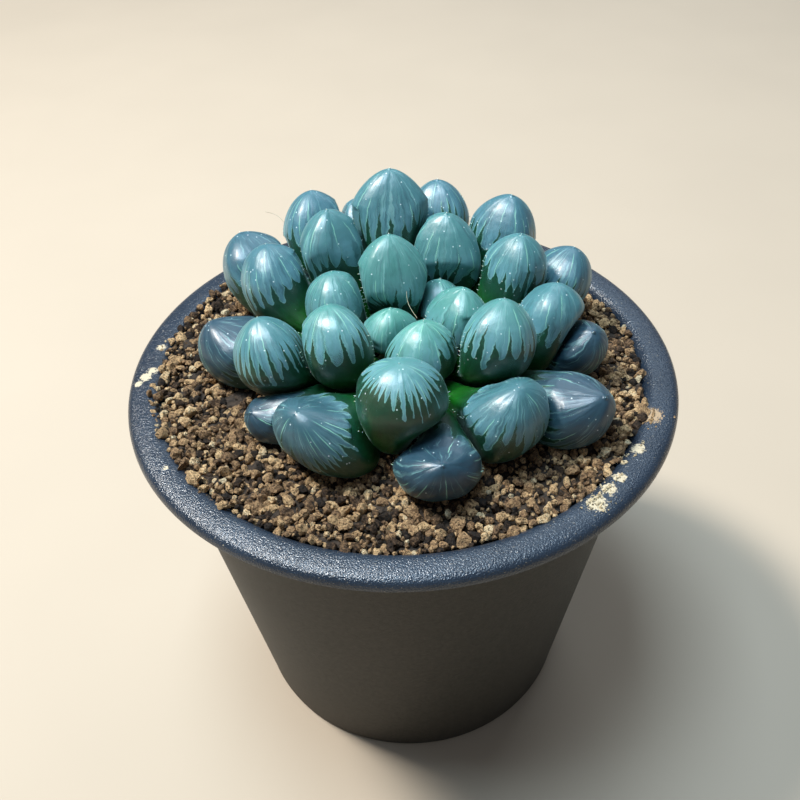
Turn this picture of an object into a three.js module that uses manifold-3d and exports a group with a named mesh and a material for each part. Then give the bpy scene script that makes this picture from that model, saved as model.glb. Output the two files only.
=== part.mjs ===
// Potted haworthia: a rosette of plump window leaves on a short stem, in granular soil,
// in a round tapered pot with a wide rolled rim.
// Millimetres, +Z up. The origin is on the table, under the centre of the pot. The front is -Y.

import * as THREE from 'three';
import { mergeVertices } from 'three/addons/utils/BufferGeometryUtils.js';
import Module from 'manifold-3d';

const wasm = await Module();
wasm.setup();

// Driving dimensions of the pot
const RIM_RADIUS = 45;
const LIP_RADIUS = 39.8;
const NECK_RADIUS = 40.2;
const BASE_RADIUS = 31;
const POT_HEIGHT = 71;
const RIM_DEPTH = 2;
const WALL = 1.3;
const FOOT_HEIGHT = 1.8;
const FOOT_WIDTH = 3;
const DRAIN_RADIUS = 6;
const POT_SIDES = 60;
const CURVE_STEPS = 3;

// Heights and radii that follow from them: floor, foot ring, rim, the hollow under it and its lip
const FLOOR_TOP = FOOT_HEIGHT + WALL;
const FOOT_RADIUS = BASE_RADIUS - 0.8;
const FOOT_SLOPE = 0.6;
const FOOT_ROUND = 1.4;
const RIM_BOTTOM = POT_HEIGHT - RIM_DEPTH;
const HOLLOW_TOP = RIM_BOTTOM + 0.7;
const HOLLOW_ROUND = 0.8;
const SKIRT_INSIDE = RIM_RADIUS - 1.2;
const SKIRT_LIFT = 0.1;
const EDGE_HEIGHT = RIM_BOTTOM + 1.2;
const EDGE_ROUND = 0.8;
const EDGE_DROP = 0.4;
const LIP_ROUND = 1.6;
const LIP_INSIDE = LIP_RADIUS - 0.5;
const LIP_BOTTOM = POT_HEIGHT - 1.8;

// Driving dimensions of the soil and the stem
const SOIL_LEVEL = 69.7;
const GRAIN_SPACING = 2.1;
const GRAIN_RISE = 0.75;
const GRAIN_JITTER = 0.6;
const BED_DEPTH = 106;
const CROWN_X = 1;
const CROWN_Y = -4;
const CROWN_HEIGHT = 69.5;
const CROWN_RADIUS = 6.8;
const ROOTSTOCK_LENGTH = 22;
const ROOTSTOCK_RADIUS = 1.6;
const STEM_SIDES = 18;

// Clearances between pieces that touch, and the lowest a leaf may lie
const GAP = 0.3;
const LEAF_GAP = 0.5;
const LEAF_FLOOR = SOIL_LEVEL + GRAIN_RISE + GAP;

// Leaves are measured from the crown and from this height above the table
const LEAF_DATUM = 70;
const LEAF_SIDES = 12;
const STALK_RINGS = 6;
const DOME_RINGS = 5;
const SPINE_SAMPLES = 60;

// One row a leaf, from the heart outwards:
// turn of the tip round the crown, reach of the tip from it, height of the tip above the datum,
// lean of the leaf's end from upright, the turn that it leans to, width and depth of its
// thickest section, blunt, from 0 for a pointed tip to 1 for a round one, and swing, by which the
// leaf leaves the crown at another turn than its tip's.
const LEAF_ROWS = [
  [128, 4, 12.5, 15, 93, 10.2, 9.6, 0.5, 0],
  [308, 4, 14.5, 11, 77, 13.2, 11.4, 0.5, 0],
  [112, 7, 9, 5, 90, 8.4, 8, 0.6, 0],
  [25, 10, 15, 11, 54, 12.4, 10.6, 0.5, 0],
  [191, 12, 17.6, 23, 112, 12, 12, 0.7, 0],
  [100, 13, 20, 14, 95, 13.4, 11, 0.3, 0],
  [64, 13.5, 11.5, 20, 76, 10.2, 9.2, 0.6, 0],
  [344, 15, 18.8, 20, 66, 12, 12, 0.5, 0],
  [139, 15.5, 15, 14, 107, 10.8, 10.4, 0.8, 0],
  [265, 16.5, 17.5, 5, 93, 13.6, 13.2, 0.95, 0],
  [68, 19.5, 20.3, 6, 48, 14.6, 11.4, 0.35, 0],
  [123, 22.5, 21.3, 7, 110, 12.4, 11, 0.4, 0],
  [33, 22.5, 19.3, 8, 56, 10.6, 10, 0.6, 0],
  [188, 22.5, 16.4, 20, 122, 12, 12, 0.5, 0],
  [310.5, 23.3, 13.3, 6, 325, 15.6, 11.8, 0.7, 0],
  [94, 24.5, 25.3, 11, 82, 14.6, 12, 0.35, 0],
  [230, 25, 11.6, 17, 228, 16.8, 11.4, 0.6, 13],
  [10.5, 24.2, 15.2, 20, 72, 10.4, 11, 0.7, -6],
  [208, 27, 6, 36, 210, 10.4, 9.4, 0.5, 0],
  [278, 28, 8.8, 24, 300, 13.2, 9.6, 0.5, 11],
  [143, 28.5, 16.3, 15, 117, 11.8, 11.4, 0.7, 0],
  [357, 29, 9.8, 22, 295, 9.4, 9, 0.6, 14],
  [51, 29.5, 20.3, 11, 27, 11.8, 10.6, 0.5, 0],
  [104, 31, 17, 14, 105, 11, 10, 0.5, 0],
  [78, 31.5, 19.5, 15, 89, 11.4, 10.6, 0.5, 0],
  [330, 32.3, 9.4, 31, 318, 12.4, 11.4, 0.35, 0],
  [171, 32, 9.8, 24, 158, 12.6, 11.8, 0.5, 0],
  [118, 33, 19.3, 17, 99, 12.4, 11.2, 0.5, 0],
  [30, 33, 13.8, 21, 40, 10.8, 10.2, 0.7, 0],
  [64, 34.5, 9, 40, 64, 11.5, 10.8, 0.5, 0],
  [87, 36, 8.5, 44, 87, 11.6, 10.4, 0.5, 0],
  [128, 36.5, 7.5, 46, 128, 10.6, 10, 0.5, 0],
  [111, 37, 8, 46, 111, 11, 10.4, 0.5, 0],
  [137, 39, 13, 33, 127, 12.6, 11.4, 0.6, 0],
];

// Path of a leaf's middle: how steeply it leaves the crown, how far it runs out before it turns
// up, and how far down from its tip it turns
const STEEPEST_CLIMB = 72;
const LEAST_CLIMB = 14;
const OUTWARD_RUN = 0.8;
const RUN_LOSS = 0.017;
const SHORTEST_DROP = 0.55;
const DROP_GROWTH = 0.045;
const LONGEST_DROP = 1.08;
const LONGEST_REACH = 40;

// Shape of a leaf along its spine and round its section
const ROOT_WIDTH = 0.58;
const ROOT_DEPTH = 0.48;
const SWELL_POWER = 0.95;
const SHORTEST_DOME = 0.5;
const POINTED_GROWTH = 0.22;
const POINTED_CURVE = 0.25;
const SHORTEST_STALK = 0.2;
const SECTION_POWER = 2.3;
const INNER_FACE = 0.9;
const TIP_RIDGES = 3;
const RIDGE_RISE = 0.03;
const LEAST_REACH = 0.35;

const radians = THREE.MathUtils.degToRad;

// Seeded random numbers from 0 to 1
function randomSource(seed) {
  let state = seed;
  return () => {
    state = (state * 1664525 + 1013904223) % 4294967296;
    return state / 4294967296;
  };
}

// A geometry's closed surface as a solid that can be joined and cut
function toSolid(geometry) {
  geometry.deleteAttribute('normal');
  geometry.deleteAttribute('uv');
  const merged = mergeVertices(geometry, 1e-4);
  return new wasm.Manifold(new wasm.Mesh({
    numProp: 3,
    vertProperties: new Float32Array(merged.attributes.position.array),
    triVerts: new Uint32Array(merged.index.array),
  }));
}

function toGeometry(solid) {
  const surface = solid.getMesh();
  const geometry = new THREE.BufferGeometry();
  geometry.setAttribute('position', new THREE.BufferAttribute(new Float32Array(surface.vertProperties), 3));
  geometry.setIndex(new THREE.BufferAttribute(new Uint32Array(surface.triVerts), 1));
  geometry.computeVertexNormals();
  return geometry;
}

// A closed outline in radius and height, turned about +Z
function turned(outline, sides) {
  const geometry = new THREE.LatheGeometry(outline, sides);
  geometry.rotateX(Math.PI / 2);
  return geometry;
}

function piece(name, geometry, look) {
  const mesh = new THREE.Mesh(geometry, new THREE.MeshStandardMaterial(look));
  mesh.name = name;
  return mesh;
}

// Radius of the pot's inside at a height, below the lip
function insideRadius(height) {
  const rise = height / RIM_BOTTOM;
  return BASE_RADIUS + (NECK_RADIUS - BASE_RADIUS) * rise - WALL;
}

// Round pot: tapered wall, rolled rim with a hollow under it, foot ring and a drain hole
function buildPot() {
  const ringInside = FOOT_RADIUS - FOOT_WIDTH;
  const outline = new THREE.Path();
  outline.moveTo(DRAIN_RADIUS, FOOT_HEIGHT);
  outline.lineTo(ringInside - FOOT_SLOPE, FOOT_HEIGHT);
  outline.lineTo(ringInside, 0);
  outline.lineTo(FOOT_RADIUS, 0);
  outline.quadraticCurveTo(BASE_RADIUS, 0, BASE_RADIUS, FOOT_ROUND);
  outline.lineTo(NECK_RADIUS, RIM_BOTTOM);
  outline.quadraticCurveTo(NECK_RADIUS, HOLLOW_TOP, NECK_RADIUS + HOLLOW_ROUND, HOLLOW_TOP);
  outline.quadraticCurveTo(SKIRT_INSIDE, HOLLOW_TOP, SKIRT_INSIDE, RIM_BOTTOM + SKIRT_LIFT);
  outline.lineTo(RIM_RADIUS, RIM_BOTTOM + SKIRT_LIFT);
  outline.quadraticCurveTo(RIM_RADIUS, EDGE_HEIGHT, RIM_RADIUS - EDGE_ROUND, POT_HEIGHT - EDGE_DROP);
  outline.quadraticCurveTo(RIM_RADIUS - 2 * EDGE_ROUND, POT_HEIGHT, LIP_RADIUS + LIP_ROUND, POT_HEIGHT);
  outline.quadraticCurveTo(LIP_RADIUS, POT_HEIGHT, LIP_INSIDE, LIP_BOTTOM);
  outline.lineTo(insideRadius(RIM_BOTTOM), RIM_BOTTOM);
  outline.lineTo(insideRadius(FLOOR_TOP), FLOOR_TOP);
  outline.lineTo(DRAIN_RADIUS, FLOOR_TOP);
  outline.closePath();
  return toGeometry(toSolid(turned(outline.getPoints(CURVE_STEPS), POT_SIDES)));
}

// Short stem: a domed crown that carries the leaves and a rootstock that tapers down the soil
function stemOutline(extra) {
  const outline = new THREE.Path();
  const tip = CROWN_HEIGHT - ROOTSTOCK_LENGTH;
  outline.moveTo(0, tip - extra);
  outline.lineTo(ROOTSTOCK_RADIUS + extra, tip - extra);
  outline.quadraticCurveTo(CROWN_RADIUS / 2 + extra, tip + ROOTSTOCK_LENGTH / 2,
    CROWN_RADIUS + extra, CROWN_HEIGHT);
  outline.absarc(0, CROWN_HEIGHT, CROWN_RADIUS + extra, 0, Math.PI / 2);
  return outline.getPoints(CURVE_STEPS);
}

function stemSolid(extra) {
  const geometry = turned(stemOutline(extra), STEM_SIDES);
  geometry.translate(CROWN_X, CROWN_Y, 0);
  return toSolid(geometry);
}

// Granular soil: fills the pot, its top raised in grains, with a plain hole for the stem
function buildSoil() {
  const bottom = FLOOR_TOP + GAP;
  const above = POT_HEIGHT + RIM_DEPTH;
  const lipInside = LIP_INSIDE - GAP;
  const filling = toSolid(turned([
    new THREE.Vector2(0, bottom),
    new THREE.Vector2(insideRadius(bottom) - GAP, bottom),
    new THREE.Vector2(insideRadius(RIM_BOTTOM) - GAP, RIM_BOTTOM),
    new THREE.Vector2(lipInside, LIP_BOTTOM + GAP),
    new THREE.Vector2(lipInside, above),
    new THREE.Vector2(0, above),
  ], POT_SIDES));

  const span = 2 * RIM_RADIUS;
  const cells = Math.round(span / GRAIN_SPACING);
  const bed = new THREE.BoxGeometry(span, span, BED_DEPTH, cells, cells, 1);
  bed.deleteAttribute('normal');
  bed.deleteAttribute('uv');
  const grains = mergeVertices(bed, 1e-4);
  const random = randomSource(7);
  const corner = grains.attributes.position;
  for (let i = 0; i < corner.count; i += 1) {
    const inside = Math.max(Math.abs(corner.getX(i)), Math.abs(corner.getY(i))) < span / 2 - 1;
    if (corner.getZ(i) < 0) {
      corner.setZ(i, SOIL_LEVEL - BED_DEPTH);
    } else if (inside) {
      corner.setX(i, corner.getX(i) + (random() - 0.5) * GRAIN_SPACING * GRAIN_JITTER);
      corner.setY(i, corner.getY(i) + (random() - 0.5) * GRAIN_SPACING * GRAIN_JITTER);
      corner.setZ(i, SOIL_LEVEL + (random() * 2 - 1) * GRAIN_RISE);
    } else {
      corner.setZ(i, SOIL_LEVEL);
    }
  }
  return toGeometry(filling.intersect(toSolid(grains)).subtract(stemSolid(GAP)));
}

// Where a leaf starts on the crown, and the curve that its middle follows to its tip
function leafFromRow([turn, reach, height, lean, toward, width, depth, blunt, swing]) {
  const around = radians(turn);
  const inwards = 1 - reach / LONGEST_REACH;
  const climb = radians(LEAST_CLIMB + (STEEPEST_CLIMB - LEAST_CLIMB) * inwards ** 3);
  const leaving = radians(turn + swing);
  const outward = new THREE.Vector3(
    Math.cos(climb) * Math.cos(leaving), Math.cos(climb) * Math.sin(leaving), Math.sin(climb));
  const upTip = new THREE.Vector3(
    Math.sin(radians(lean)) * Math.cos(radians(toward)),
    Math.sin(radians(lean)) * Math.sin(radians(toward)),
    Math.cos(radians(lean)));
  const root = CROWN_CENTRE.clone().addScaledVector(outward, CROWN_RADIUS + GAP);
  const tip = new THREE.Vector3(
    CROWN_X + reach * Math.cos(around), CROWN_Y + reach * Math.sin(around), LEAF_DATUM + height);
  const drop = (tip.z - root.z) * Math.min(LONGEST_DROP, SHORTEST_DROP + reach * DROP_GROWTH);
  const foot = tip.clone().addScaledVector(upTip, -drop / upTip.z);
  const run = root.distanceTo(foot) * (OUTWARD_RUN - height * RUN_LOSS);
  const spine = new THREE.CubicBezierCurve3(
    root, root.clone().addScaledVector(outward, run), foot, tip);
  const sideways = new THREE.Vector3(-Math.sin(around), Math.cos(around), 0);
  return { spine, sideways, width, depth, blunt, length: spine.getLength() };
}

// Half width and half depth of a leaf at a part of the way along its spine
function sectionAt(leaf, along) {
  const pointed = 1 - leaf.blunt;
  const fullness = SHORTEST_DOME + POINTED_GROWTH * pointed;
  const shoulder = Math.max(SHORTEST_STALK, 1 - leaf.width * fullness / leaf.length);
  if (along <= shoulder) {
    const rise = along / shoulder;
    const swell = (3 * rise ** 2 - 2 * rise ** 3) ** SWELL_POWER;
    return {
      wide: leaf.width / 2 * (ROOT_WIDTH + (1 - ROOT_WIDTH) * swell),
      deep: leaf.depth / 2 * (ROOT_DEPTH + (1 - ROOT_DEPTH) * swell),
      ripple: 0,
      shoulder,
    };
  }
  const rise = (along - shoulder) / (1 - shoulder);
  const close = (1 - rise ** (2 - POINTED_CURVE * pointed)) ** fullness;
  return {
    wide: leaf.width / 2 * close,
    deep: leaf.depth / 2 * close,
    ripple: RIDGE_RISE * Math.sin(Math.PI * rise),
    shoulder,
  };
}

// Middle, size and two cross directions of a leaf at a part of the way along its spine
function stationAt(leaf, along) {
  const middle = leaf.spine.getPointAt(along);
  const forward = leaf.spine.getTangentAt(along);
  const across = leaf.sideways.clone().addScaledVector(forward, -leaf.sideways.dot(forward)).normalize();
  const back = new THREE.Vector3().crossVectors(across, forward);
  return { middle, across, back, ...sectionAt(leaf, along) };
}

const CROWN_CENTRE = new THREE.Vector3(CROWN_X, CROWN_Y, CROWN_HEIGHT);
const LEAVES = LEAF_ROWS.map(leafFromRow);

// Points along every leaf's spine, with the leaf's mean radius there
const CROWD = LEAVES.flatMap((leaf, index) => Array.from({ length: SPINE_SAMPLES }, (_, step) => {
  const { middle, wide, deep } = stationAt(leaf, step / SPINE_SAMPLES);
  return { index, middle, radius: (wide + deep) / 2 };
}));

// How far a leaf's surface goes from its spine before it meets a neighbour, the crown or the
// soil: crowded leaves flatten against each other along the plane between them
function pressedReach(index, middle, radius, direction, reach) {
  let limit = reach;
  for (const other of CROWD) {
    const between = other.middle.clone().sub(middle);
    const distance = between.length();
    const facing = between.dot(direction) / distance;
    if (other.index !== index && facing > 0 && distance < radius + other.radius + LEAF_GAP) {
      const share = distance * radius / (radius + other.radius) - LEAF_GAP / 2;
      limit = Math.min(limit, share / facing);
    }
  }
  const inward = CROWN_CENTRE.clone().sub(middle);
  const facingCrown = inward.dot(direction) / inward.length();
  if (facingCrown > 0) {
    limit = Math.min(limit, (inward.length() - CROWN_RADIUS - GAP) / facingCrown);
  }
  if (direction.z < 0) {
    limit = Math.min(limit, (middle.z - LEAF_FLOOR) / -direction.z);
  }
  return Math.max(limit, LEAST_REACH);
}

// One plump leaf: a narrow root on the crown, a swelling stalk and a domed window at the tip
function buildLeaf(leaf, index) {
  const { shoulder } = sectionAt(leaf, 0);
  const stations = [];
  for (let ring = 0; ring < STALK_RINGS; ring += 1) {
    stations.push(shoulder * ring / STALK_RINGS);
  }
  for (let ring = 0; ring < DOME_RINGS; ring += 1) {
    stations.push(shoulder + (1 - shoulder) * Math.sin(Math.PI / 2 * ring / DOME_RINGS));
  }

  const points = [];
  for (const along of stations) {
    const { middle, across, back, wide, deep, ripple } = stationAt(leaf, along);
    for (let side = 0; side < LEAF_SIDES; side += 1) {
      const angle = 2 * Math.PI * side / LEAF_SIDES;
      const x = Math.sign(Math.cos(angle)) * Math.abs(Math.cos(angle)) ** (2 / SECTION_POWER);
      const y = Math.sign(Math.sin(angle)) * Math.abs(Math.sin(angle)) ** (2 / SECTION_POWER);
      const ridge = 1 + ripple * Math.cos(TIP_RIDGES * (angle - Math.PI / 2));
      const offset = across.clone().multiplyScalar(x * wide * ridge)
        .addScaledVector(back, y * deep * ridge * (y < 0 ? INNER_FACE : 1));
      const reach = offset.length();
      const direction = offset.normalize();
      const pressed = pressedReach(index, middle, (wide + deep) / 2, direction, reach);
      points.push(middle.clone().addScaledVector(direction, pressed));
    }
  }
  points.push(leaf.spine.getPointAt(0), leaf.spine.getPointAt(1));

  const rootPoint = points.length - 2;
  const tipPoint = points.length - 1;
  const lastRing = (stations.length - 1) * LEAF_SIDES;
  const corners = [];
  for (let side = 0; side < LEAF_SIDES; side += 1) {
    const next = (side + 1) % LEAF_SIDES;
    corners.push(rootPoint, side, next);
    corners.push(tipPoint, lastRing + next, lastRing + side);
    for (let ring = 0; ring < lastRing; ring += LEAF_SIDES) {
      corners.push(ring + side, ring + LEAF_SIDES + side, ring + next);
      corners.push(ring + next, ring + LEAF_SIDES + side, ring + LEAF_SIDES + next);
    }
  }
  const geometry = new THREE.BufferGeometry().setFromPoints(points);
  geometry.setIndex(corners);
  geometry.computeVertexNormals();
  return geometry;
}

// Photographed colours
const POT_LOOK = { color: 0x2f3b48, roughness: 0.45, metalness: 0 };
const SOIL_LOOK = { color: 0x9a7656, roughness: 0.95, metalness: 0 };
const STEM_LOOK = { color: 0x4c6238, roughness: 0.7, metalness: 0 };
const HEART_COLOUR = new THREE.Color(0x86b8a0);
const OUTER_COLOUR = new THREE.Color(0x4f7f7c);

// Young leaves at the heart are paler than the outer ones
function leafLook(row) {
  const age = row[1] / LONGEST_REACH;
  return { color: HEART_COLOUR.clone().lerp(OUTER_COLOUR, age), roughness: 0.25, metalness: 0 };
}

const plant = new THREE.Group();
plant.add(piece('pot', buildPot(), POT_LOOK));
plant.add(piece('soil', buildSoil(), SOIL_LOOK));
plant.add(piece('stem', toGeometry(stemSolid(0)), STEM_LOOK));
LEAVES.forEach((leaf, index) => {
  const name = `leaf_${String(index + 1).padStart(2, '0')}`;
  plant.add(piece(name, buildLeaf(leaf, index), leafLook(LEAF_ROWS[index])));
});

export default plant;
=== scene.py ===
import math

import bmesh
import bpy
import numpy as np
from mathutils import Matrix, Vector
from mathutils.kdtree import KDTree


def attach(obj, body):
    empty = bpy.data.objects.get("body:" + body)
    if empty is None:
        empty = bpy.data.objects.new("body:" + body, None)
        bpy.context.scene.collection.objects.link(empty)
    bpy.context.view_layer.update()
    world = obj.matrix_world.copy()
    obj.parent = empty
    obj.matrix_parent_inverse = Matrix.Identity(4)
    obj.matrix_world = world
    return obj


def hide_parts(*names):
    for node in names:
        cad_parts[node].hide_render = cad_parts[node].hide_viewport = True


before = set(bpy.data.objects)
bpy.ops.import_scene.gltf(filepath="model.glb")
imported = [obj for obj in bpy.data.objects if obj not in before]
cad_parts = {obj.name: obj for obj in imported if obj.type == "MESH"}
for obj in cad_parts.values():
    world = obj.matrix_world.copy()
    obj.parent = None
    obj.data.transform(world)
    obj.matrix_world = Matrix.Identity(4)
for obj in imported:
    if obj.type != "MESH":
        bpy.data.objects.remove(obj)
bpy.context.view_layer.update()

METRES_PER_MM = 0.001
chance = np.random.default_rng(7)
scene = bpy.context.scene

# Camera of the photograph, in mm, as fitted to the pot: how far it looks down, and its roll
CAMERA_PLACE = (-0.495, -115.234, 166.738)
CAMERA_PITCH = math.radians(42.2)
CAMERA_ROLL = math.radians(-2.26)
SENSOR_WIDTH = 36
FOCAL_LENGTH = 40.5

# Pot outline, in mm
RIM_RADIUS = 45
LIP_RADIUS = 39.8
NECK_RADIUS = 40.2
BASE_RADIUS = 31
POT_HEIGHT = 71
RIM_DEPTH = 2
WALL = 1.3
FOOT_HEIGHT = 1.8
FOOT_WIDTH = 3
DRAIN_RADIUS = 6
FLOOR_TOP = FOOT_HEIGHT + WALL
FOOT_RADIUS = BASE_RADIUS - 0.8
FOOT_SLOPE = 0.6
FOOT_ROUND = 1.4
RIM_BOTTOM = POT_HEIGHT - RIM_DEPTH
HOLLOW_TOP = RIM_BOTTOM + 0.7
HOLLOW_ROUND = 0.8
SKIRT_INSIDE = RIM_RADIUS - 1.2
SKIRT_LIFT = 0.1
EDGE_HEIGHT = RIM_BOTTOM + 1.2
EDGE_ROUND = 0.8
EDGE_DROP = 0.4
LIP_ROUND = 1.6
LIP_INSIDE = LIP_RADIUS - 0.5
LIP_BOTTOM = POT_HEIGHT - 1.8
POT_SIDES = 240
POT_CURVE_STEPS = 10
SHARP_ANGLE = math.radians(35)
HEIGHT_SLACK = 1e-6

# Soil and crown, in mm
SOIL_LEVEL = 69.7
GRAIN_RISE = 0.75
GAP = 0.3
LEAF_GAP = 0.5
LEAF_FLOOR = SOIL_LEVEL + GRAIN_RISE + GAP
CROWN_X = 1
CROWN_Y = -4
CROWN_HEIGHT = 69.5
CROWN_RADIUS = 6.8
CROWN_CENTRE = np.array([CROWN_X, CROWN_Y, CROWN_HEIGHT])

# Leaf form, in mm and degrees
LEAF_DATUM = 70
STEEPEST_CLIMB = 72
LEAST_CLIMB = 14
OUTWARD_RUN = 0.8
RUN_LOSS = 0.017
SHORTEST_DROP = 0.55
DROP_GROWTH = 0.045
LONGEST_DROP = 1.08
LONGEST_REACH = 40
ROOT_WIDTH = 0.58
ROOT_DEPTH = 0.48
SWELL_POWER = 0.95
SHORTEST_DOME = 0.5
POINTED_GROWTH = 0.22
POINTED_CURVE = 0.25
SHORTEST_STALK = 0.2
SECTION_POWER = 2.3
INNER_FACE = 0.9
TIP_RIDGES = 3
RIDGE_RISE = 0.03
LEAST_REACH = 0.35
LEAST_FACING = 1e-6
FAR_AWAY = 1e3
LEAF_SIDES = 72
STALK_RINGS = 26
DOME_RINGS = 30
CROWD_SAMPLES = 50
CROWD_POWER = 12
SPINE_STEPS = 400

# One row a leaf: turn, reach, height, lean, toward, width, depth, blunt, swing, window shift.
# For 28 leaves a scratch script worked out turn, reach, lean and toward from pixels picked by hand in the
# photograph. Some were changed later, and the other values were chosen.
LEAF_ROWS = [
    (128, 4, 12.5, 15, 93, 10.2, 9.6, 0.5, 0, 0),
    (308, 4, 14.5, 11, 77, 13.2, 11.4, 0.5, 0, -3.0),
    (112, 7, 9, 5, 90, 8.4, 8, 0.6, 0, -2.0),
    (25, 10, 15, 11, 54, 12.4, 10.6, 0.5, 0, 0),
    (191, 12, 17.6, 23, 112, 12, 12, 0.7, 0, -2.2),
    (100, 13, 20, 14, 95, 13.4, 11, 0.3, 0, 2.0),
    (64, 13.5, 11.5, 20, 76, 10.2, 9.2, 0.6, 0, 0),
    (344, 15, 18.8, 20, 66, 12, 12, 0.5, 0, -1.0),
    (139, 15.5, 15, 14, 107, 10.8, 10.4, 0.8, 0, 0),
    (265, 16.5, 17.5, 5, 93, 13.6, 13.2, 0.95, 0, -4.8),
    (68, 19.5, 20.3, 6, 48, 14.6, 11.4, 0.35, 0, 0),
    (123, 22.5, 21.3, 7, 110, 12.4, 11, 0.4, 0, 0),
    (33, 22.5, 19.3, 8, 56, 10.6, 10, 0.6, 0, 0),
    (188, 22.5, 16.4, 20, 122, 12, 12, 0.5, 0, -1.5),
    (310.5, 23.3, 13.3, 6, 325, 15.6, 11.8, 0.7, 0, -3.8),
    (94, 24.5, 25.3, 11, 82, 14.6, 12, 0.35, 0, 0),
    (230, 25, 11.6, 17, 228, 16.8, 11.4, 0.6, 13, -5.0),
    (10.5, 24.2, 15.2, 20, 72, 10.4, 11, 0.7, -6, 1.5),
    (208, 27, 6, 36, 210, 10.4, 9.4, 0.5, 0, 0),
    (278, 28, 8.8, 24, 300, 13.2, 9.6, 0.5, 11, -0.5),
    (143, 28.5, 16.3, 15, 117, 11.8, 11.4, 0.7, 0, 0),
    (357, 29, 9.8, 22, 295, 9.4, 9, 0.6, 14, 0),
    (51, 29.5, 20.3, 11, 27, 11.8, 10.6, 0.5, 0, 0),
    (104, 31, 17, 14, 105, 11, 10, 0.5, 0, 0),
    (78, 31.5, 19.5, 15, 89, 11.4, 10.6, 0.5, 0, 0),
    (330, 32.3, 9.4, 31, 318, 12.4, 11.4, 0.35, 0, 0),
    (171, 32, 9.8, 24, 158, 12.6, 11.8, 0.5, 0, 0),
    (118, 33, 19.3, 17, 99, 12.4, 11.2, 0.5, 0, 0),
    (30, 33, 13.8, 21, 40, 10.8, 10.2, 0.7, 0, 0),
    (64, 34.5, 9, 40, 64, 11.5, 10.8, 0.5, 0, 0),
    (87, 36, 8.5, 44, 87, 11.6, 10.4, 0.5, 0, 0),
    (128, 36.5, 7.5, 46, 128, 10.6, 10, 0.5, 0, 0),
    (111, 37, 8, 46, 111, 11, 10.4, 0.5, 0, 0),
    (137, 39, 13, 33, 127, 12.6, 11.4, 0.6, 0, 0),
]

# Unevenness of a leaf's skin: share of its reach, by lobes round the section, and fine ridges
SKIN_LOBES = ((2, 0.016), (3, 0.012), (5, 0.007))
FINE_RIDGES = 9
FINE_RIDGE_RISE = 0.010
FINE_RIDGE_START = 0.7
FINE_RIDGE_BEND = 0.6

# Window fingers, in mm
FINGER_PITCH = 1.65
FEWEST_FINGERS = 12
POINTED_NOTCH = 1.3
BLUNT_NOTCH_LOSS = 0.7
FINGER_WARP = (0.3, 0.22, 0.16)
EDGE_WAVE = 0.45

# Leaves whose tips lie low are the oldest, with windows that reach far down their upper face. They are also
# darker, partly for their age and partly as painted shade, since low leaves lie in the others' shade
LOW_TIP = 9.5
HIGH_TIP = 15.2
HEART_REACH = 14
OUTER_REACH = 30
UPPER_FACE_REACH = 13


def unit(vector):
    return vector / np.linalg.norm(vector, axis=-1, keepdims=True)


def walked_along(places):
    """Distance walked to each of a line's places."""
    return np.concatenate([[0], np.cumsum(np.linalg.norm(np.diff(places, axis=0), axis=1))])


def value_along(here, walked, values):
    return np.stack([np.interp(here, walked, values[:, axis]) for axis in range(3)], axis=-1)


def spine_of(points):
    """Evenly spaced sampling of a cubic curve: a function from 0..1 to places and directions."""
    steps = np.linspace(0, 1, SPINE_STEPS + 1)[:, None]
    start, pull, foot, tip = points
    back = 1 - steps
    places = back**3 * start + 3 * back**2 * steps * pull + 3 * back * steps**2 * foot + steps**3 * tip
    slopes = 3 * back**2 * (pull - start) + 6 * back * steps * (foot - pull) + 3 * steps**2 * (tip - foot)
    walked = walked_along(places)

    def at(along):
        here = np.asarray(along) * walked[-1]
        return value_along(here, walked, places), unit(value_along(here, walked, slopes))

    return at, walked[-1]


def oldness_and_shade(reach, height):
    """0 for a young leaf, up to 1 for the oldest ones, whose tips lie low; the same share sets how much
    painted shade darkens their windows.
    """
    if reach <= HEART_REACH:
        return 0.0
    return min(1.0, max(0.0, (HIGH_TIP - height) / (HIGH_TIP - LOW_TIP)))


def leaf_from_row(index, row):
    """A leaf's spine and measures from its row, as in the solid model."""
    turn, reach, height, lean, toward, width, depth, blunt, swing, window_shift = row
    around = math.radians(turn)
    tilt = math.radians(lean)
    heading = math.radians(toward)
    inwards = 1 - reach / LONGEST_REACH
    climb = math.radians(LEAST_CLIMB + (STEEPEST_CLIMB - LEAST_CLIMB) * inwards**3)
    leaving = math.radians(turn + swing)
    level = math.cos(climb)
    outward = np.array([level * math.cos(leaving), level * math.sin(leaving), math.sin(climb)])
    up_tip = np.array([
        math.sin(tilt) * math.cos(heading),
        math.sin(tilt) * math.sin(heading),
        math.cos(tilt),
    ])
    root = CROWN_CENTRE + outward * (CROWN_RADIUS + GAP)
    tip = np.array([
        CROWN_X + reach * math.cos(around),
        CROWN_Y + reach * math.sin(around),
        LEAF_DATUM + height,
    ])
    drop = (tip[2] - root[2]) * min(LONGEST_DROP, SHORTEST_DROP + reach * DROP_GROWTH)
    foot = tip - up_tip * drop / up_tip[2]
    run = np.linalg.norm(foot - root) * (OUTWARD_RUN - height * RUN_LOSS)
    spine, length = spine_of((root, root + outward * run, foot, tip))
    return {
        "name": f"leaf_{index + 1:02d}",
        "index": index,
        "spine": spine,
        "length": length,
        "width": width,
        "depth": depth,
        "pointed": 1 - blunt,
        "age": min(1.0, reach / OUTER_REACH),
        "old_and_shaded": oldness_and_shade(reach, height),
        "notches": POINTED_NOTCH - BLUNT_NOTCH_LOSS * blunt,
        "sideways": np.array([-math.sin(around), math.cos(around), 0.0]),
        "outward": np.array([math.cos(around), math.sin(around), 0.0]),
        "window_shift": window_shift,
        "seed": float(chance.uniform(0, 40)),
    }


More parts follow.
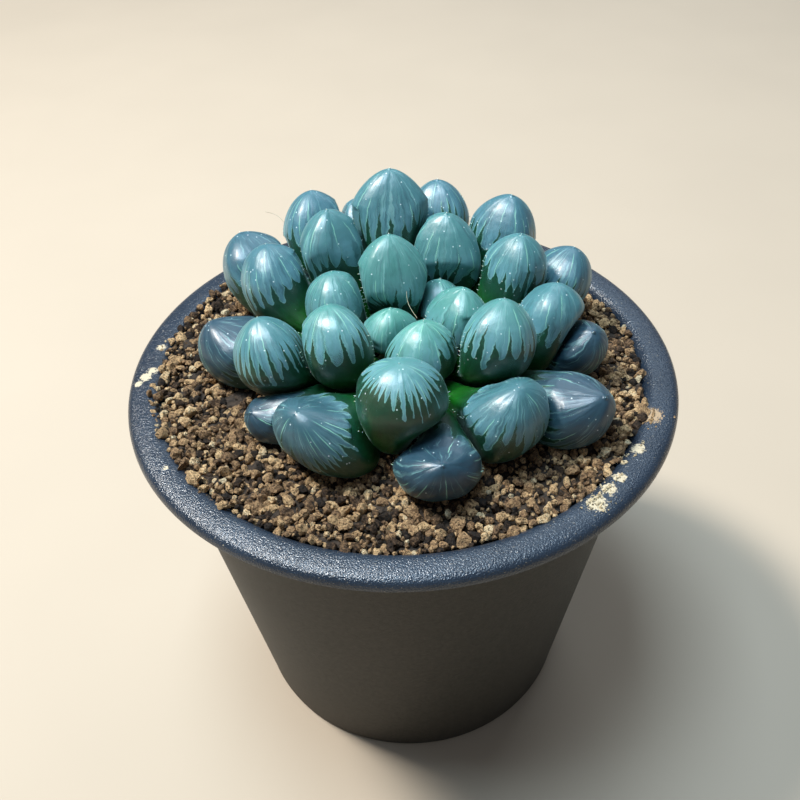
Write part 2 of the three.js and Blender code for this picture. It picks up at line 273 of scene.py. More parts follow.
def fullness_of(leaf):
    return SHORTEST_DOME + POINTED_GROWTH * leaf["pointed"]


def shoulder_of(leaf):
    return max(SHORTEST_STALK, 1 - leaf["width"] * fullness_of(leaf) / leaf["length"])


def section_at(leaf, along):
    """Half width, half depth and ripple of a leaf at each place along its spine."""
    shoulder = shoulder_of(leaf)
    rise = np.clip(along / shoulder, 0, 1)
    swell = (3 * rise**2 - 2 * rise**3) ** SWELL_POWER
    past = np.clip((along - shoulder) / (1 - shoulder), 0, 1)
    close = (1 - past ** (2 - POINTED_CURVE * leaf["pointed"])) ** fullness_of(leaf)
    wide = leaf["width"] / 2 * (ROOT_WIDTH + (1 - ROOT_WIDTH) * swell) * close
    deep = leaf["depth"] / 2 * (ROOT_DEPTH + (1 - ROOT_DEPTH) * swell) * close
    return wide, deep, RIDGE_RISE * np.sin(math.pi * past)


def crowd_of(leaves):
    """Places and sizes along every leaf, by which its neighbours are pressed."""
    along = np.arange(CROWD_SAMPLES + 1) / CROWD_SAMPLES
    crowd = []
    for leaf in leaves:
        middle, _ = leaf["spine"](along)
        wide, deep, _ = section_at(leaf, along)
        crowd.append((middle, (wide + deep) / 2))
    return crowd


def room_before(facing, distance, near=True):
    """How far the skin can go towards each plane that it faces, and far where it faces none."""
    return np.where((facing > LEAST_FACING) & near, distance / np.maximum(facing, LEAST_FACING), FAR_AWAY)


def tightness_of(room):
    return (1 / np.maximum(room, LEAST_REACH)) ** CROWD_POWER


def pressed_reach(leaf, crowd, middle, radius, direction, reach):
    """How far the leaf's skin goes from its spine where neighbours, crown and soil press it."""
    tightness = (1 / reach) ** CROWD_POWER
    for index, (others, other_radius) in enumerate(crowd):
        if index == leaf["index"]:
            continue
        between = others[None, :, :] - middle[:, None, :]
        distance = np.linalg.norm(between, axis=2)
        near = distance < radius[:, None] + other_radius[None, :] + LEAF_GAP
        if not near.any():
            continue
        share = distance * radius[:, None] / (radius[:, None] + other_radius[None, :]) - LEAF_GAP / 2
        facing = np.einsum("rjc,rsc->rsj", between / distance[:, :, None], direction)
        room = room_before(facing, share[:, None, :], near[:, None, :])
        tightness += tightness_of(room.min(axis=2))
    inward = CROWN_CENTRE - middle
    crown_distance = np.linalg.norm(inward, axis=1)
    facing = np.einsum("rc,rsc->rs", inward / crown_distance[:, None], direction)
    tightness += tightness_of(room_before(facing, (crown_distance - CROWN_RADIUS - GAP)[:, None]))
    falling = -direction[:, :, 2]
    tightness += tightness_of(room_before(falling, (middle[:, 2] - LEAF_FLOOR)[:, None]))
    return np.maximum(tightness ** (-1 / CROWD_POWER), LEAST_REACH)


def skin_unevenness(along, angle, shoulder):
    """Factors near 1 for each ring and side: soft lobes that wander, and ridges up to the tip."""
    uneven = np.ones((len(along), len(angle)))
    for lobes, size in SKIN_LOBES:
        start = chance.uniform(0, 2 * math.pi)
        drift = chance.uniform(-2, 2)
        uneven += size * np.sin(lobes * angle[None, :] + start + drift * along[:, None] * lobes)
    ridge_start = shoulder * FINE_RIDGE_START
    past = np.clip((along - ridge_start) / (1 - ridge_start), 0, 1)
    bend = chance.uniform(-FINE_RIDGE_BEND, FINE_RIDGE_BEND)
    ridges = np.cos(FINE_RIDGES * (angle[None, :] + bend * past[:, None]) + chance.uniform(0, 2 * math.pi))
    return uneven + FINE_RIDGE_RISE * np.sin(math.pi * past)[:, None] * ridges


def leaf_skin(leaf, crowd):
    """Rings of skin points round the spine, and what the material needs to know at each point."""
    shoulder = shoulder_of(leaf)
    stalk = shoulder * np.arange(STALK_RINGS) / STALK_RINGS
    dome = shoulder + (1 - shoulder) * np.sin(math.pi / 2 * np.arange(DOME_RINGS) / DOME_RINGS)
    along = np.concatenate([stalk, dome])
    middle, forward = leaf["spine"](along)
    across = unit(leaf["sideways"] - forward * (forward @ leaf["sideways"])[:, None])
    back = np.cross(across, forward)
    wide, deep, ripple = section_at(leaf, along)
    angle = 2 * math.pi * np.arange(LEAF_SIDES) / LEAF_SIDES + math.pi / 2
    over = np.sign(np.cos(angle)) * np.abs(np.cos(angle)) ** (2 / SECTION_POWER)
    under = np.sign(np.sin(angle)) * np.abs(np.sin(angle)) ** (2 / SECTION_POWER)
    under = under * np.where(under < 0, INNER_FACE, 1)
    ridge = 1 + ripple[:, None] * np.cos(TIP_RIDGES * (angle - math.pi / 2))[None, :]
    ridge = ridge * skin_unevenness(along, angle, shoulder)
    offset = across[:, None, :] * (wide[:, None] * over[None, :] * ridge)[:, :, None]
    offset = offset + back[:, None, :] * (deep[:, None] * under[None, :] * ridge)[:, :, None]
    reach = np.linalg.norm(offset, axis=2)
    direction = offset / reach[:, :, None]
    reach = pressed_reach(leaf, crowd, middle, (wide + deep) / 2, direction, reach)
    rings = middle[:, None, :] + direction * reach[:, :, None]
    tip, _ = leaf["spine"](1.0)
    outer = np.einsum("rsc,c->rs", direction, leaf["outward"])
    return rings, tip, outer, angle


def window_map(leaf, rings, tip, outer, angle):
    """Finger number and distance below the window's edge, at each skin point, with the tip last."""
    steps = np.linalg.norm(np.diff(rings, axis=0), axis=2).mean(axis=1)
    last = np.linalg.norm(rings[-1] - tip, axis=1).mean()
    from_tip = last + np.concatenate([np.cumsum(steps[::-1])[::-1], [0]])
    edge = from_tip[STALK_RINGS] + leaf["window_shift"]
    turned = (angle - angle[0]) / (2 * math.pi)
    turned = np.append(turned, 1.0)
    phases = chance.uniform(0, 2 * math.pi, len(FINGER_WARP))
    warp = sum(
        size * np.sin(2 * math.pi * (step + 1) * turned + phase) / (2 * math.pi * (step + 1))
        for step, (size, phase) in enumerate(zip(FINGER_WARP, phases))
    )
    wave = EDGE_WAVE * (np.sin(2 * math.pi * turned + phases[0]) + np.sin(6 * math.pi * turned + phases[1]))
    around = np.linalg.norm(np.diff(rings, axis=1, append=rings[:, :1]), axis=2)
    girth = around.sum(axis=1)
    fingers = max(FEWEST_FINGERS, round(girth[STALK_RINGS] / FINGER_PITCH))
    finger = fingers * (turned + warp)
    inner = np.clip(-np.append(outer[STALK_RINGS], outer[STALK_RINGS, 0]), 0, 1)
    below = from_tip[:, None] - edge + wave[None, :] - UPPER_FACE_REACH * leaf["old_and_shaded"] * inner[None, :]
    stretch = np.gradient(finger)
    pitch = np.append(around, around[:, :1], axis=1) / stretch[None, :]
    return finger, below, pitch[:, :-1], fingers, edge


def grid_faces(rings, sides, closed=False):
    """Quads between rings of points; closed joins the last ring to the first."""
    faces = []
    for ring in range(rings if closed else rings - 1):
        above = (ring + 1) % rings
        for side in range(sides):
            beside = (side + 1) % sides
            faces.append((
                ring * sides + side,
                ring * sides + beside,
                above * sides + beside,
                above * sides + side,
            ))
    return faces


def add_piece(name, points, faces, material, smooth=True):
    """A mesh object of the plant or pot, from points in mm."""
    mesh = bpy.data.meshes.new(name)
    mesh.from_pydata((np.asarray(points) * METRES_PER_MM).tolist(), [], faces)
    mesh.polygons.foreach_set("use_smooth", [smooth] * len(mesh.polygons))
    mesh.materials.append(material)
    mesh.update()
    piece = bpy.data.objects.new(name, mesh)
    scene.collection.objects.link(piece)
    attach(piece, "root")
    return piece


def add_point_value(piece, name, values):
    attribute = piece.data.attributes.new(name, "FLOAT", "POINT")
    attribute.data.foreach_set("value", np.asarray(values, dtype=np.float32).ravel())


def add_leaf(leaf, crowd, material):
    """A leaf's skin with its window map."""
    rings, tip, outer, angle = leaf_skin(leaf, crowd)
    finger, below, pitch, fingers, edge = window_map(leaf, rings, tip, outer, angle)
    count = len(rings)
    faces = grid_faces(count, LEAF_SIDES)
    apex = count * LEAF_SIDES
    last = apex - LEAF_SIDES
    for side in range(LEAF_SIDES):
        faces.append((last + side, last + (side + 1) % LEAF_SIDES, apex))
    faces.append(tuple(range(LEAF_SIDES - 1, -1, -1)))
    points = np.vstack([rings.reshape(-1, 3), tip])
    skin = add_piece(leaf["name"] + "_skin", points, faces, material)
    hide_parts(leaf["name"])

    corners = []
    for ring in range(count - 1):
        for side in range(LEAF_SIDES):
            for next_ring, beside in ((0, 0), (0, 1), (1, 1), (1, 0)):
                corners.append((finger[side + beside], below[ring + next_ring, side + beside]))
    for side in range(LEAF_SIDES):
        corners.append((finger[side], below[-1, side]))
        corners.append((finger[side + 1], below[-1, side + 1]))
        corners.append(((finger[side] + finger[side + 1]) / 2, -edge))
    for side in range(LEAF_SIDES):
        corners.append((0.0, below[0, 0]))
    window = skin.data.uv_layers.new(name="window")
    window.data.foreach_set("uv", np.asarray(corners, dtype=np.float32).ravel())

    add_point_value(skin, "pitch", np.append(pitch.ravel(), 0))
    add_point_value(skin, "outer", np.append(outer.ravel(), 0))
    add_point_value(skin, "fingers", np.full(len(points), fingers))
    for name in ("seed", "age", "old_and_shaded", "notches"):
        add_point_value(skin, name, np.full(len(points), leaf[name]))
    return rings, tip


# Node helpers
MIX_FIRST_COLOR = 6
MIX_SECOND_COLOR = 7
MIX_RESULT_COLOR = 2


def new_material(name):
    """An empty procedural material: its node tree, its surface shader and the surface's own place."""
    material = bpy.data.materials.new(name)
    material.use_nodes = True
    tree = material.node_tree
    return material, tree, tree.nodes["Principled BSDF"], place_in_mm(tree)


def feed(tree, socket, value):
    if isinstance(value, bpy.types.NodeSocket):
        tree.links.new(value, socket)
    else:
        socket.default_value = value


def feed_inputs(tree, node, values):
    for name, value in values.items():
        feed(tree, node.inputs[name], value)


def calc(tree, operation, *values, clamp=False):
    node = tree.nodes.new("ShaderNodeMath")
    node.operation = operation
    node.use_clamp = clamp
    for socket, value in zip(node.inputs, values):
        feed(tree, socket, value)
    return node.outputs[0]


def product(tree, first, second):
    return calc(tree, "MULTIPLY", first, second)


def scaled(tree, value, factor, added):
    """value times factor, plus added."""
    return calc(tree, "MULTIPLY_ADD", value, factor, added)


def ramped(tree, value, low, high, start=0.0, end=1.0):
    """value eased from start to end as it goes from low to high."""
    node = tree.nodes.new("ShaderNodeMapRange")
    node.interpolation_type = "SMOOTHSTEP"
    given = {"Value": value, "From Min": low, "From Max": high, "To Min": start, "To Max": end}
    feed_inputs(tree, node, given)
    return node.outputs[0]


def blended(tree, factor, first, second):
    node = tree.nodes.new("ShaderNodeMix")
    node.data_type = "RGBA"
    feed(tree, node.inputs["Factor"], factor)
    feed(tree, node.inputs[MIX_FIRST_COLOR], first)
    feed(tree, node.inputs[MIX_SECOND_COLOR], second)
    return node.outputs[MIX_RESULT_COLOR]


def point_value(tree, name):
    node = tree.nodes.new("ShaderNodeAttribute")
    node.attribute_name = name
    return node.outputs["Fac"]


def place_in_mm(tree):
    """The surface's own place, in mm."""
    coordinates = tree.nodes.new("ShaderNodeTexCoord")
    node = tree.nodes.new("ShaderNodeVectorMath")
    node.operation = "SCALE"
    tree.links.new(coordinates.outputs["Object"], node.inputs[0])
    node.inputs["Scale"].default_value = 1 / METRES_PER_MM
    return node.outputs[0]


def packed(tree, *values):
    node = tree.nodes.new("ShaderNodeCombineXYZ")
    for socket, value in zip(node.inputs, values):
        feed(tree, socket, value)
    return node.outputs[0]


def unpacked(tree, vector):
    node = tree.nodes.new("ShaderNodeSeparateXYZ")
    tree.links.new(vector, node.inputs[0])
    return node.outputs


def noise(tree, vector, scale, detail=2.0, roughness=0.5):
    node = tree.nodes.new("ShaderNodeTexNoise")
    feed_inputs(tree, node, {"Vector": vector, "Scale": scale, "Detail": detail, "Roughness": roughness})
    return node.outputs["Fac"]


def cells(tree, vector, scale):
    node = tree.nodes.new("ShaderNodeTexVoronoi")
    feed_inputs(tree, node, {"Vector": vector, "Scale": scale})
    return node.outputs["Distance"]


def random_of(tree, *values):
    """A random number of 0 to 1 for each set of whole values."""
    node = tree.nodes.new("ShaderNodeTexWhiteNoise")
    node.noise_dimensions = "3D"
    tree.links.new(packed(tree, *values), node.inputs["Vector"])
    return node.outputs["Value"]


def color_ramp(tree, value, *stops):
    node = tree.nodes.new("ShaderNodeValToRGB")
    elements = node.color_ramp.elements
    while len(elements) < len(stops):
        elements.new(0.5)
    for element, (position, color) in zip(elements, stops):
        element.position = position
        element.color = (*color, 1)
    tree.links.new(value, node.inputs[0])
    return node.outputs[0]


def add_bump(tree, shader, height, strength, depth_mm):
    node = tree.nodes.new("ShaderNodeBump")
    feed_inputs(tree, node, {"Strength": strength, "Distance": depth_mm * METRES_PER_MM, "Height": height})
    tree.links.new(node.outputs[0], shader.inputs["Normal"])


# Leaf skin: translucent windows that end in fingers over dark green
LONGEST_FINGER = 2.8
SHORTEST_FINGER = 0.2
FINGER_POINT = 2.3
LONGEST_NOTCH = 5.6
SHORTEST_NOTCH = 1.2
NOTCH_WIDTH = 0.44
NOTCH_SHARE = 0.82
FINGER_BLUR = 0.1
VEIN_WIDTH = 0.11
INNER_WINDOW = (0.095, 0.31, 0.25, 1)
OUTER_WINDOW = (0.048, 0.150, 0.190, 1)
DARK_WINDOW = (0.018, 0.055, 0.082, 1)
PALE_WINDOW = (0.137, 0.310, 0.365, 1)
OLD_SHADED_PALE_WINDOW = (0.052, 0.130, 0.152, 1)
THREAD_COLOR = (0.26, 0.50, 0.48, 1)
UNDER_WINDOW = (0.004, 0.052, 0.024, 1)
DEEP_GREEN = (0.001, 0.075, 0.002, 1)
OLIVE = (0.030, 0.050, 0.018, 1)
VEIN_COLOR = (0.30, 0.62, 0.45, 1)
SPECK_COLOR = (0.75, 0.85, 0.85, 1)
LEAF_SURFACE = {
    "Subsurface Weight": 0.5,
    "Subsurface Radius": (0.5, 1.0, 0.8),
    "Subsurface Scale": 2.0 * METRES_PER_MM,
    "Specular IOR Level": 0.7,
    "Coat Weight": 0.12,
    "Coat Roughness": 0.2,
    "Sheen Weight": 0.22,
    "Sheen Roughness": 0.2,
    "Sheen Tint": (0.6, 0.95, 0.85, 1),
}


def finger_room(tree, finger, below, pitch, fingers, seed, notches):
    """How far, in mm, a point lies inside the window's fingered edge."""
    number = calc(tree, "FLOORED_MODULO", calc(tree, "FLOOR", finger), fingers)
    own = random_of(tree, number, seed, 1.0)
    off_middle = calc(tree, "ABSOLUTE", calc(tree, "SUBTRACT", calc(tree, "FRACT", finger), 0.5))
    squared = product(tree, calc(tree, "POWER", product(tree, off_middle, 2.0), 2.0), FINGER_POINT)
    end = scaled(tree, own, LONGEST_FINGER - SHORTEST_FINGER, SHORTEST_FINGER)
    ahead = calc(tree, "SUBTRACT", calc(tree, "SUBTRACT", end, squared), below)
    nearest = calc(tree, "ROUND", finger)
    notch = random_of(tree, calc(tree, "FLOORED_MODULO", nearest, fingers), seed, 2.0)
    height = scaled(tree, notch, LONGEST_NOTCH - SHORTEST_NOTCH, SHORTEST_NOTCH)
    missing = calc(tree, "GREATER_THAN", notch, NOTCH_SHARE)
    height = product(tree, height, scaled(tree, missing, -0.9, 1.0))
    height = product(tree, height, notches)
    into_notch = calc(tree, "ADD", below, height)
    opened = calc(tree, "DIVIDE", into_notch, calc(tree, "ADD", height, 1.0), clamp=True)
    half = scaled(tree, opened, NOTCH_WIDTH + FINGER_BLUR, -FINGER_BLUR)
    aside = product(tree, calc(tree, "ABSOLUTE", calc(tree, "SUBTRACT", finger, nearest)), pitch)
    beside = calc(tree, "SUBTRACT", aside, half)
    return calc(tree, "MINIMUM", ahead, beside)


def veins_at(tree, finger, below, pitch, fingers, seed):
    """Strength of the thin pale lines that run down inside the window."""
    shifted = calc(tree, "ADD", finger, 0.37)
    number = calc(tree, "FLOORED_MODULO", calc(tree, "FLOOR", shifted), fingers)
    chosen = calc(tree, "GREATER_THAN", random_of(tree, number, seed, 3.0), 0.55)
    start = scaled(tree, random_of(tree, number, seed, 4.0), 6.0, -9.0)
    partial = product(
        tree,
        ramped(tree, below, start, calc(tree, "ADD", start, 1.0)),
        ramped(tree, below, calc(tree, "ADD", start, 3.0), calc(tree, "ADD", start, 6.0), 1.0, 0.0),
    )
    aside = calc(tree, "ABSOLUTE", calc(tree, "SUBTRACT", calc(tree, "FRACT", shifted), 0.5))
    line = ramped(tree, product(tree, aside, pitch), 0.02, VEIN_WIDTH, 1.0, 0.0)
    away_from_tip = ramped(tree, pitch, 0.2, 0.9)
    return product(tree, product(tree, line, chosen), product(tree, partial, away_from_tip))


def leaf_material():
    material, tree, shader, place = new_material("leaf_skin")
    window_node = tree.nodes.new("ShaderNodeUVMap")
    window_node.uv_map = "window"
    across, down, _ = unpacked(tree, window_node.outputs[0])
    names = ("pitch", "seed", "fingers", "age", "outer", "old_and_shaded", "notches")
    pitch, seed, fingers, age, outer, old_and_shaded, notches = (point_value(tree, name) for name in names)

    wobble = calc(tree, "SUBTRACT", noise(tree, place, 0.9), 0.5)
    fine_wobble = calc(tree, "SUBTRACT", noise(tree, place, 2.6), 0.5)
    finger = scaled(tree, wobble, 0.42, across)
    finger = scaled(tree, fine_wobble, 0.06, finger)
    below = scaled(tree, wobble, 0.7, down)

    room = finger_room(tree, finger, below, pitch, fingers, seed, notches)
    window = ramped(tree, room, 0.0, FINGER_BLUR)
    edge_line = product(tree, ramped(tree, room, 0.03, 0.1), ramped(tree, room, 0.12, 0.3, 1.0, 0.0))
    edge_line = product(tree, edge_line, ramped(tree, below, -3.0, 0.0))
    vein_finger = scaled(tree, wobble, 0.2, across)
    vein = veins_at(tree, vein_finger, below, pitch, fingers, seed)

    streak_place = packed(tree, product(tree, finger, 2.2), product(tree, down, 0.14), seed)
    streaks = noise(tree, streak_place, 1.0, 4.0, 0.65)
    cloud = noise(tree, place, 0.35, 2.0)

    window_color = blended(tree, age, INNER_WINDOW, OUTER_WINDOW)
    # Painted shade: windows of low-tipped leaves are darkened, partly for their age and partly for the shade
    # the other leaves cast on them
    window_color = blended(tree, old_and_shaded, window_color, DARK_WINDOW)
    pale_color = blended(tree, old_and_shaded, PALE_WINDOW, OLD_SHADED_PALE_WINDOW)
    pale = product(tree, ramped(tree, below, -6.5, 1.0), ramped(tree, streaks, 0.35, 0.62, 0.25, 1.0))
    window_color = blended(tree, product(tree, pale, 0.9), window_color, pale_color)
    off_tip = ramped(tree, pitch, 0.3, 1.1)
    dark_streak = product(tree, ramped(tree, streaks, 0.36, 0.48, 0.30, 0.0), off_tip)
    window_color = blended(tree, dark_streak, window_color, DARK_WINDOW)
    thread_place = packed(tree, product(tree, finger, 3.6), product(tree, down, 0.10), seed)
    threads = noise(tree, thread_place, 1.0, 2.0, 0.5)
    thread = product(tree, ramped(tree, threads, 0.57, 0.66), ramped(tree, cloud, 0.35, 0.55, 0.3, 1.0))
    thread = product(tree, product(tree, thread, 0.36), off_tip)
    window_color = blended(tree, thread, window_color, THREAD_COLOR)
    window_color = blended(tree, product(tree, edge_line, 0.3), window_color, VEIN_COLOR)
    window_color = blended(tree, product(tree, vein, 0.7), window_color, VEIN_COLOR)

    # Further below the window the skin turns a brighter, saturated green: partly the body's own green and
    # partly painted light standing in for light shining through the leaves
    under_color = blended(tree, ramped(tree, below, 1.0, 9.0), UNDER_WINDOW, DEEP_GREEN)
    olive = product(tree, ramped(tree, outer, -0.1, 0.9), ramped(tree, cloud, 0.38, 0.62))
    olive = product(tree, olive, ramped(tree, below, 0.0, 7.0, 1.0, 0.25))
    under_color = blended(tree, product(tree, olive, 0.4), under_color, OLIVE)

    color = blended(tree, window, under_color, window_color)
    speck = ramped(tree, cells(tree, place, 0.75), 0.06, 0.11, 1.0, 0.0)
    color = blended(tree, product(tree, speck, ramped(tree, below, 0.5, 3.5, 0.7, 0.15)), color, SPECK_COLOR)

    roughness = ramped(tree, cloud, 0.3, 0.7, 0.36, 0.46)
    feed_inputs(tree, shader, {"Base Color": color, "Roughness": roughness, **LEAF_SURFACE})
    facet_place = packed(tree, product(tree, finger, 0.8), product(tree, down, 0.09), seed)
    relief = scaled(tree, noise(tree, facet_place, 1.0, 1.0), 0.8, product(tree, streaks, 0.25))
    relief = product(tree, relief, ramped(tree, pitch, 0.15, 1.0))
    relief = scaled(tree, noise(tree, place, 0.5, 1.0), 0.5, relief)
    relief = scaled(tree, noise(tree, place, 5.0, 2.0), 0.08, relief)
    relief = scaled(tree, window, 0.1, relief)
    add_bump(tree, shader, relief, 0.7, 0.35)
    return material


def bristle_material(name, dark, light):
    """Horny skin of teeth and hairs, mottled between two colours."""
    material, tree, shader, place = new_material(name)
    tone = noise(tree, place, 1.5)
    feed_inputs(tree, shader, {
        "Base Color": color_ramp(tree, tone, (0.3, dark), (0.7, light)),
        "Roughness": 0.4,
        "Subsurface Weight": 0.2,
        "Subsurface Scale": 0.3 * METRES_PER_MM,
    })
    return material


# Teeth and tip bristles, in mm
TOOTH_LENGTH = 0.45
TOOTH_RADIUS = 0.085
TOOTH_SPACING = 0.85
TEETH_START = 0.45
TEETH_PAST_SHOULDER = 7
MOST_TWIST = math.radians(65)
TOOTH_SIDES = 5
BRISTLE_LENGTH = 0.3
TOOTH_COLORS = ((0.5, 0.72, 0.6), (0.8, 0.92, 0.85))


def cone(foot, direction, length, radius):
    """Points and faces of a slender cone that starts a little inside the skin."""
    direction = unit(direction)
    helper = np.array([0.0, 0.0, 1.0]) if abs(direction[2]) < 0.9 else np.array([1.0, 0.0, 0.0])
    first = unit(np.cross(direction, helper))
    second = np.cross(direction, first)
    angle = 2 * math.pi * np.arange(TOOTH_SIDES) / TOOTH_SIDES
    ring = foot - direction * radius
    ring = ring + radius * (np.cos(angle)[:, None] * first + np.sin(angle)[:, None] * second)
    points = np.vstack([ring, foot + direction * length])
    faces = [(side, (side + 1) % TOOTH_SIDES, TOOTH_SIDES) for side in range(TOOTH_SIDES)]
    faces.append(tuple(range(TOOTH_SIDES - 1, -1, -1)))
    return points, faces


def margin_sides(leaf):
    """The two sides of a leaf's section that carry its teeth, twisted towards its left and right."""
    turn = math.atan2(leaf["outward"][0], leaf["sideways"][0])
    turn = (turn + math.pi / 2) % math.pi - math.pi / 2
    turn = max(-MOST_TWIST, min(MOST_TWIST, turn))
    step = round(turn / (2 * math.pi) * LEAF_SIDES)
    return (LEAF_SIDES // 4 + step) % LEAF_SIDES, (3 * LEAF_SIDES // 4 + step) % LEAF_SIDES


def margin_teeth(leaf, rings, tip):
    """Teeth along both margins of a leaf's body, and the bristle at its tip."""
    teeth = []
    first = int(STALK_RINGS * TEETH_START)
    last = STALK_RINGS + TEETH_PAST_SHOULDER
    for side in margin_sides(leaf):
        line = rings[first:last, side]
        centre = rings[first:last].mean(axis=1)
        upward = unit(tip - rings[STALK_RINGS].mean(axis=0))
        walked = walked_along(line)
        here = chance.uniform(0, 2 * TOOTH_SPACING)
        while here < walked[-1]:
            foot = value_along(here, walked, line)
            middle = value_along(here, walked, centre)
            lean = unit(foot - middle) + upward * chance.uniform(0.0, 0.5) + chance.normal(0, 0.15, 3)
            length = TOOTH_LENGTH * chance.uniform(0.4, 1.1)
            teeth.append(cone(foot, lean, length, TOOTH_RADIUS))
            here += TOOTH_SPACING * chance.uniform(0.6, 1.6)
    upward = unit(tip - rings[-4].mean(axis=0))
    teeth.append(cone(tip, upward + chance.normal(0, 0.15, 3), BRISTLE_LENGTH, TOOTH_RADIUS))
    return teeth


def joined(parts):
    """One list of points and faces out of many."""
    points = []
    faces = []
    count = 0
    for part_points, part_faces in parts:
        points.append(part_points)
        faces.extend(tuple(count + corner for corner in face) for face in part_faces)
        count += len(part_points)
    return np.vstack(points), faces


# Dry hairs that cling to leaves: foot and end, in mm, mostly as a scratch script printed them
HAIRS = (
    ((-19.0, 23.5, 84.0), (-22.9, 25.2, 85.4)),
    ((1.4, 0.5, 84.0), (2.6, -5.6, 84.0)),
)
HAIR_RADIUS = 0.035
HAIR_STEPS = 12
HAIR_SIDES = 5
HAIR_BEND = 0.5
HAIR_SIDE_BEND = 0.3
HAIR_COLORS = ((0.30, 0.26, 0.16), (0.52, 0.50, 0.38))


def hair(foot, end, skin_points):
    """Points and faces of a thin bent tube that starts in the nearest skin."""
    start = skin_points[np.argmin(np.linalg.norm(skin_points - foot, axis=1))]
    along = np.linspace(0, 1, HAIR_STEPS + 1)
    middle = start + along[:, None] * (np.array(end) - start)
    forward = unit(np.array(end) - start)
    first = unit(np.cross(forward, [0.0, 0.0, 1.0]))
    second = np.cross(forward, first)
    middle = middle + HAIR_BEND * np.sin(math.pi * along)[:, None] * (first - HAIR_SIDE_BEND * second)
    angle = 2 * math.pi * np.arange(HAIR_SIDES) / HAIR_SIDES
    ring = HAIR_RADIUS * (np.cos(angle)[:, None] * first + np.sin(angle)[:, None] * second)
    points = (middle[:, None, :] + ring[None, :, :]).reshape(-1, 3)
    faces = grid_faces(HAIR_STEPS + 1, HAIR_SIDES)
    last = HAIR_STEPS * HAIR_SIDES
    faces.append(tuple(range(last, last + HAIR_SIDES)))
    faces.append(tuple(range(HAIR_SIDES - 1, -1, -1)))
    return points, faces


# Soil grains, in mm
GRAIN_SIZES = ((0.75, 1.0, 600), (0.55, 0.75, 4000), (0.38, 0.55, 14000), (0.24, 0.38, 16000))
GRAIN_APART = 0.7
BED_RADIUS = LIP_INSIDE - 0.1
HIDDEN_RADIUS = 12
GRAIN_CUTS = 4
GRAIN_ROUGHNESS = 0.13
GRAIN_TOP = 71.5
FINE_GRAIN = 0.55
FINEST_GRAIN = 0.38
NEAR_BED = 2.5
PIT_SHADE_COLOR = (0.03, 0.018, 0.010, 1)

# Tones of the grains, from 0 for dark to 1 for pale, and the share of very dark and pale ones
MIDDLE_TONE = 0.46
TONE_SPREAD = 0.21
DARKEST_USUAL = 0.08
PALEST_USUAL = 0.85
FINEST_SHADE = 0.85
DARK_SHARE = 0.09
DARK_TONE = 0.02
PALE_SHARE = 0.015
PALE_TONE = 0.97

# Places where grains lie over the rim's inner edge: turn, half width in degrees, mm beyond the bed
SPILLS = (
    (196, 22, 1.9),
    (226, 9, 1.3),
    (150, 14, 1.2),
    (171, 9, 0.6),
    (262, 10, 0.7),
    (301, 8, 0.9),
    (338, 7, 1.0),
)


def sphere_net(level):
    net = bmesh.new()
    bmesh.ops.create_icosphere(net, subdivisions=level, radius=1)
    points = np.array([vertex.co for vertex in net.verts])
    faces = np.array([[vertex.index for vertex in face.verts] for face in net.faces])
    net.free()
    return points, faces


def random_turns(count):
    """Evenly random rotations, as matrices."""
    quaternion = unit(chance.normal(size=(count, 4)))
    w, x, y, z = quaternion.T
    rows = [
        [1 - 2 * (y * y + z * z), 2 * (x * y - z * w), 2 * (x * z + y * w)],
        [2 * (x * y + z * w), 1 - 2 * (x * x + z * z), 2 * (y * z - x * w)],
        [2 * (x * z - y * w), 2 * (y * z + x * w), 1 - 2 * (x * x + y * y)],
    ]
    return np.moveaxis(np.array(rows), 2, 0)


def crumbs(count, net_points):
    """Angular crumbs of unit radius: spheres cut flat by random planes, then stretched."""
    shapes = np.repeat(net_points[None], count, axis=0)
    for _ in range(GRAIN_CUTS):
        normal = unit(chance.normal(size=(count, 1, 3)))
        depth = chance.uniform(0.45, 0.85, (count, 1))
        beyond = np.maximum((shapes * normal).sum(axis=2) - depth, 0)
        shapes = shapes - beyond[:, :, None] * normal
        knob = unit(chance.normal(size=(count, 1, 3)))
        raised = np.maximum((net_points[None] * knob).sum(axis=2) - 0.6, 0)
        shapes = shapes * (1 + 0.7 * raised[:, :, None])
    shapes = shapes * chance.uniform(1 - GRAIN_ROUGHNESS, 1 + GRAIN_ROUGHNESS, (count, len(net_points), 1))
    shapes = shapes * chance.uniform(0.85, 1.2, (count, 1, 3))
    return np.einsum("cij,cpj->cpi", random_turns(count), shapes)


def bed_reach(angle):
    """How far from the pot's axis the grains reach at an angle."""
    reach = BED_RADIUS + 0.25 * math.sin(11 * angle) * math.sin(3 * angle + 1)
    for turn, width, spill in SPILLS:
        apart = (math.degrees(angle) - turn + 180) % 360 - 180
        reach += spill * math.exp(-(apart / width) ** 2)
    return reach


def scattered_grains():
    """Places and radii of grains that lie side by side over the bed, large ones first."""
    places = np.empty((0, 2))
    radii = np.empty(0)
    for smallest, largest, tries in GRAIN_SIZES:
        for _ in range(tries):
            radius = chance.uniform(smallest, largest)
            angle = chance.uniform(0, 2 * math.pi)
            distance = bed_reach(angle) * math.sqrt(chance.uniform())
            place = np.array([distance * math.cos(angle), distance * math.sin(angle)])
            if np.hypot(place[0] - CROWN_X, place[1] - CROWN_Y) < HIDDEN_RADIUS:
                continue
            apart = np.linalg.norm(places - place, axis=1)
            if (apart > GRAIN_APART * (radii + radius)).all():
                places = np.vstack([places, place])
                radii = np.append(radii, radius)
    return places, radii


